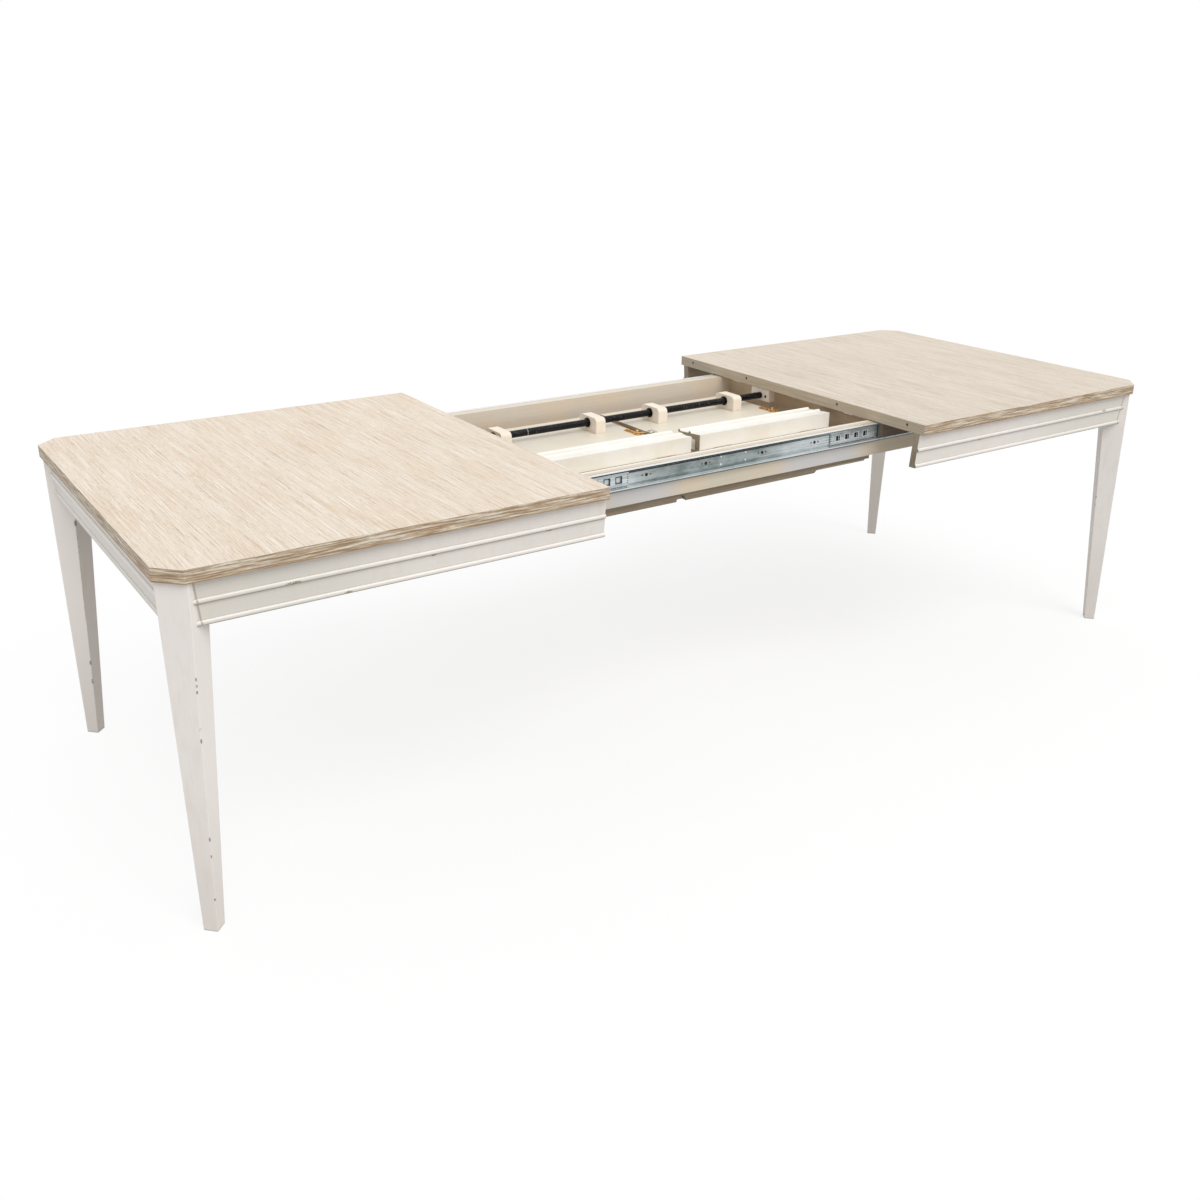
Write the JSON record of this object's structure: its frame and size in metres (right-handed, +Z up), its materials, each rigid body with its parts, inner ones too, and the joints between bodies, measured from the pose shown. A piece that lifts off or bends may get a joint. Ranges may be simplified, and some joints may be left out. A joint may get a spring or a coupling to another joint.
{
  "type": "dining table",
  "caption": "Extending rectangular dining table with clipped corners and tapered corner legs, opened on ball-bearing slides over a box that holds folded leaves on a pivot rod.",
  "frame": {"origin": "on the floor under the middle of the table", "axes": "+X along the table's length, +Y across it away from the side that the table is seen from, +Z up"},
  "size_m": [2.864, 1.02, 0.762],
  "materials": {
    "top_veneer": "matt limed oak",
    "painted_wood": "satin off-white paint, worn at the edges",
    "inner_wood": "clear satin",
    "cream_paint": "satin cream paint",
    "slide_steel": "zinc plated",
    "zinc_steel": "zinc plated",
    "dark_screw": "black oxide",
    "bright_balls": "polished",
    "black_steel": "satin black",
    "black_plastic": "moulded",
    "brass": "lacquered"
  },
  "bodies": {
    "centre_box": {"box_rail_near": "inner_wood", "box_rail_far": "inner_wood", "box_strip_near": "inner_wood", "box_strip_far": "inner_wood", "box_cross_rail_left": "inner_wood", "box_cross_rail_right": "inner_wood", "leaf_rest_ledge": "inner_wood", "rod_end_blocks": "inner_wood", "pivot_rod": "black_steel", "slide_channel_near": "slide_steel", "slide_channel_far": "slide_steel", "box_screws": "dark_screw"},
    "left_half": {"left_top": "top_veneer", "left_apron_near": "painted_wood", "left_apron_far": "painted_wood", "left_apron_end": "painted_wood", "left_leg_near": "painted_wood", "left_leg_far": "painted_wood", "left_corner_blocks": "inner_wood", "left_runners": "inner_wood", "left_slide_members": "slide_steel", "left_fixings": "zinc_steel"},
    "left_retainers": {"left_ball_retainers": "slide_steel", "left_slide_balls": "bright_balls"},
    "right_half": {"right_top": "top_veneer", "right_apron_near": "painted_wood", "right_apron_far": "painted_wood", "right_apron_end": "painted_wood", "right_leg_near": "painted_wood", "right_leg_far": "painted_wood", "right_corner_blocks": "inner_wood", "right_runners": "inner_wood", "right_slide_members": "slide_steel", "right_fixings": "zinc_steel"},
    "right_retainers": {"right_ball_retainers": "slide_steel", "right_slide_balls": "bright_balls"},
    "leaf_1_carrier": {"leaf_1_bushes": "black_plastic"},
    "leaf_1": {"leaf_1_upper_panel": "top_veneer", "leaf_1_lower_panel": "top_veneer", "leaf_1_rod_blocks": "cream_paint", "leaf_1_fold_hinges": "brass", "leaf_1_lower_apron": "cream_paint", "leaf_1_apron_hinges": "brass", "leaf_1_catch_plate": "brass", "leaf_1_pins_and_keeper": "zinc_steel"},
    "leaf_1_apron": {"leaf_1_upper_apron": "cream_paint", "leaf_1_apron_hinge_wings": "brass"},
    "leaf_1_catch": {"leaf_1_catch_lever": "brass"},
    "leaf_2_carrier": {"leaf_2_bushes": "black_plastic"},
    "leaf_2": {"leaf_2_upper_panel": "top_veneer", "leaf_2_lower_panel": "top_veneer", "leaf_2_rod_blocks": "cream_paint", "leaf_2_fold_hinges": "brass", "leaf_2_lower_apron": "cream_paint", "leaf_2_apron_hinges": "brass", "leaf_2_catch_plate": "brass", "leaf_2_pins_and_keeper": "zinc_steel"},
    "leaf_2_apron": {"leaf_2_upper_apron": "cream_paint", "leaf_2_apron_hinge_wings": "brass"},
    "leaf_2_catch": {"leaf_2_catch_lever": "brass"}
  },
  "joints": [
    {"name": "left_half_slide", "type": "slide", "parent": "centre_box", "child": "left_half", "axis": [-1, 0, 0], "range_m": [-0.4877, 0]},
    {"name": "left_retainer_roll", "type": "slide", "parent": "centre_box", "child": "left_retainers", "axis": [-1, 0, 0], "range_m": [-0.25, 0]},
    {"name": "right_half_slide", "type": "slide", "parent": "centre_box", "child": "right_half", "axis": [1, 0, 0], "range_m": [-0.4877, 0]},
    {"name": "right_retainer_roll", "type": "slide", "parent": "centre_box", "child": "right_retainers", "axis": [1, 0, 0], "range_m": [-0.25, 0]},
    {"name": "leaf_1_shift", "type": "slide", "parent": "centre_box", "child": "leaf_1_carrier", "axis": [1, 0, 0], "range_m": [0, 0.0122]},
    {"name": "leaf_1_swing", "type": "hinge", "parent": "leaf_1_carrier", "child": "leaf_1", "pos_m": [-0.2411, 0.134, 0.71], "axis": [-1, 0, 0], "range_deg": [0, 180]},
    {"name": "leaf_1_apron_fold", "type": "hinge", "parent": "leaf_1", "child": "leaf_1_apron", "pos_m": [-0.2411, -0.18615, 0.68615], "axis": [1, 0, 0], "range_deg": [0, 90]},
    {"name": "leaf_1_catch_turn", "type": "hinge", "parent": "leaf_1", "child": "leaf_1_catch", "pos_m": [-0.0245, 0.08, 0.6888], "axis": [0, 0, -1], "range_deg": [0, 90]},
    {"name": "leaf_2_shift", "type": "slide", "parent": "centre_box", "child": "leaf_2_carrier", "axis": [-1, 0, 0], "range_m": [0, 0.0122]},
    {"name": "leaf_2_swing", "type": "hinge", "parent": "leaf_2_carrier", "child": "leaf_2", "pos_m": [0.2411, 0.134, 0.71], "axis": [-1, 0, 0], "range_deg": [0, 180]},
    {"name": "leaf_2_apron_fold", "type": "hinge", "parent": "leaf_2", "child": "leaf_2_apron", "pos_m": [0.2411, -0.18615, 0.68615], "axis": [1, 0, 0], "range_deg": [0, 90]},
    {"name": "leaf_2_catch_turn", "type": "hinge", "parent": "leaf_2", "child": "leaf_2_catch", "pos_m": [0.4577, 0.08, 0.6888], "axis": [0, 0, -1], "range_deg": [0, 90]}
  ],
  "couplings": [
    {"joint": "left_retainer_roll", "follows": "left_half_slide", "ratio": 0.5},
    {"joint": "right_retainer_roll", "follows": "right_half_slide", "ratio": 0.5}
  ]
}
